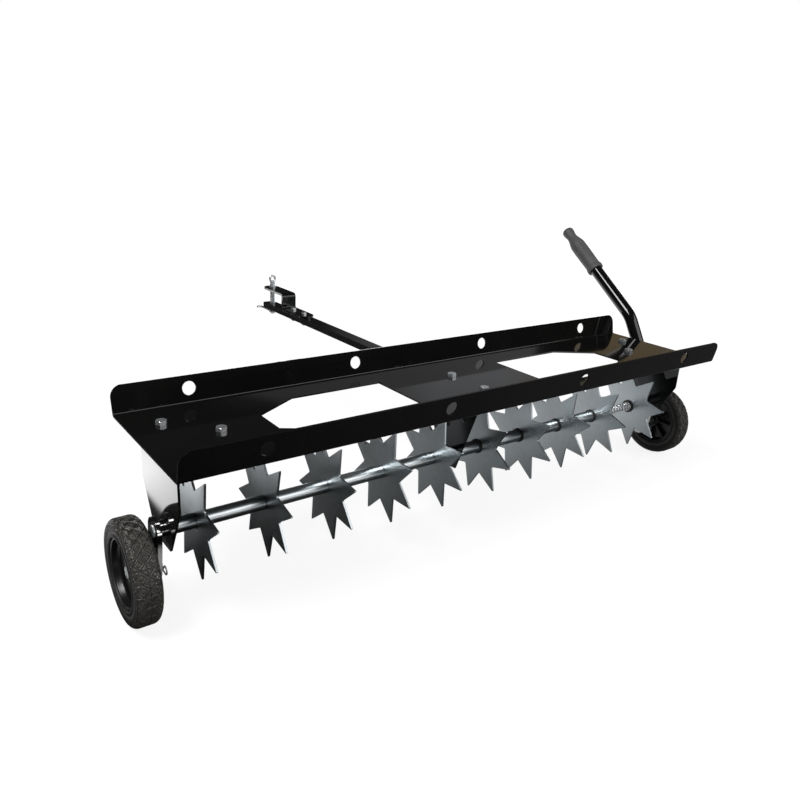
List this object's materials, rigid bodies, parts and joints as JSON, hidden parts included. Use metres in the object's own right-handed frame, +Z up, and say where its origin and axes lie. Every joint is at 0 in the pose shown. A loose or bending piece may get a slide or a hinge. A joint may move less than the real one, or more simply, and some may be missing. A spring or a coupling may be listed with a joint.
{
  "type": "tow behind aerator",
  "caption": "Tow behind lawn spike aerator: black steel tray on end plates, a cross rod of free-turning spiked stars, crank wheels set by a lever, and a drawbar with a pin hitch.",
  "frame": {"origin": "on the ground under the middle of the whole machine, as it stands on its transport wheels", "axes": "+X along the rod towards the lever side, +Y forwards along the drawbar, +Z up"},
  "size_m": [1.1, 0.8287, 0.4253],
  "materials": {
    "black_powder_coat": "glossy black powder coat on folded steel",
    "galvanised_steel": "satin galvanised steel",
    "zinc_plate": "bright zinc plating",
    "spring_steel": "bright drawn spring wire",
    "rubber_washer": "matte black rubber",
    "grip_rubber": "matte dark grey rubber",
    "tyre_rubber": "moulded black rubber with a lozenge tread",
    "black_plastic": "moulded black plastic"
  },
  "bodies": {
    "frame": {"tray": "black_powder_coat", "end_plate_left": "black_powder_coat", "end_plate_right": "black_powder_coat", "centre_hanger": "black_powder_coat", "tow_tube": "black_powder_coat", "tube_plugs": "black_plastic", "hitch_strap": "black_powder_coat", "hitch_bolts": "zinc_plate", "hitch_nuts": "zinc_plate", "tray_bolts": "zinc_plate", "tray_nuts": "zinc_plate", "plate_bush_left": "black_plastic", "plate_bush_right": "black_plastic", "hanger_bush": "black_plastic"},
    "crank": {"cross_rod": "zinc_plate", "rod_nut": "zinc_plate", "spacer_1": "galvanised_steel", "spacer_2": "galvanised_steel", "spacer_3": "galvanised_steel", "spacer_4": "galvanised_steel", "spacer_5": "galvanised_steel", "spacer_6": "galvanised_steel", "spacer_7": "galvanised_steel", "spacer_8": "galvanised_steel", "spacer_9": "galvanised_steel", "spacer_10": "galvanised_steel", "spacer_11": "galvanised_steel", "compression_spring": "spring_steel", "rod_washers": "rubber_washer", "crank_arm_left": "zinc_plate", "crank_arm_right": "zinc_plate", "lever": "black_powder_coat", "lever_grip": "grip_rubber", "wheel_axle_left": "zinc_plate", "wheel_axle_right": "zinc_plate", "axle_spacers": "galvanised_steel", "axle_clips": "zinc_plate"},
    "star_1": {"star_1": "galvanised_steel"},
    "star_2": {"star_2": "galvanised_steel"},
    "star_3": {"star_3": "galvanised_steel"},
    "star_4": {"star_4": "galvanised_steel"},
    "star_5": {"star_5": "galvanised_steel"},
    "star_6": {"star_6": "galvanised_steel"},
    "star_7": {"star_7": "galvanised_steel"},
    "star_8": {"star_8": "galvanised_steel"},
    "star_9": {"star_9": "galvanised_steel"},
    "star_10": {"star_10": "galvanised_steel"},
    "wheel_left": {"tyre_left": "tyre_rubber", "rim_left": "black_plastic", "wheel_bush_left": "galvanised_steel"},
    "wheel_right": {"tyre_right": "tyre_rubber", "rim_right": "black_plastic", "wheel_bush_right": "galvanised_steel"},
    "hitch_pin": {"hitch_pin": "zinc_plate"},
    "hitch_clip": {"hitch_clip": "zinc_plate"}
  },
  "joints": [
    {"name": "crank_lift", "type": "hinge", "parent": "frame", "child": "crank", "pos_m": [-0.015, -0.29465, 0.11933], "axis": [1, 0, 0], "range_deg": [0, 110]},
    {"name": "star_1_spin", "type": "hinge", "parent": "crank", "child": "star_1", "pos_m": [-0.015, -0.29465, 0.11933], "axis": [1, 0, 0], "continuous": true},
    {"name": "star_2_spin", "type": "hinge", "parent": "crank", "child": "star_2", "pos_m": [-0.015, -0.29465, 0.11933], "axis": [1, 0, 0], "continuous": true},
    {"name": "star_3_spin", "type": "hinge", "parent": "crank", "child": "star_3", "pos_m": [-0.015, -0.29465, 0.11933], "axis": [1, 0, 0], "continuous": true},
    {"name": "star_4_spin", "type": "hinge", "parent": "crank", "child": "star_4", "pos_m": [-0.015, -0.29465, 0.11933], "axis": [1, 0, 0], "continuous": true},
    {"name": "star_5_spin", "type": "hinge", "parent": "crank", "child": "star_5", "pos_m": [-0.015, -0.29465, 0.11933], "axis": [1, 0, 0], "continuous": true},
    {"name": "star_6_spin", "type": "hinge", "parent": "crank", "child": "star_6", "pos_m": [-0.015, -0.29465, 0.11933], "axis": [1, 0, 0], "continuous": true},
    {"name": "star_7_spin", "type": "hinge", "parent": "crank", "child": "star_7", "pos_m": [-0.015, -0.29465, 0.11933], "axis": [1, 0, 0], "continuous": true},
    {"name": "star_8_spin", "type": "hinge", "parent": "crank", "child": "star_8", "pos_m": [-0.015, -0.29465, 0.11933], "axis": [1, 0, 0], "continuous": true},
    {"name": "star_9_spin", "type": "hinge", "parent": "crank", "child": "star_9", "pos_m": [-0.015, -0.29465, 0.11933], "axis": [1, 0, 0], "continuous": true},
    {"name": "star_10_spin", "type": "hinge", "parent": "crank", "child": "star_10", "pos_m": [-0.015, -0.29465, 0.11933], "axis": [1, 0, 0], "continuous": true},
    {"name": "wheel_left_spin", "type": "hinge", "parent": "crank", "child": "wheel_left", "pos_m": [-0.5335, -0.28633, 0.068], "axis": [1, 0, 0], "continuous": true},
    {"name": "wheel_right_spin", "type": "hinge", "parent": "crank", "child": "wheel_right", "pos_m": [0.5335, -0.28633, 0.068], "axis": [1, 0, 0], "continuous": true},
    {"name": "hitch_pin_lift", "type": "slide", "parent": "frame", "child": "hitch_pin", "axis": [0, 0, 1], "range_m": [0, 0.004]},
    {"name": "hitch_clip_pull", "type": "slide", "parent": "hitch_pin", "child": "hitch_clip", "axis": [0, 1, 0], "range_m": [0, 0.022]}
  ]
}
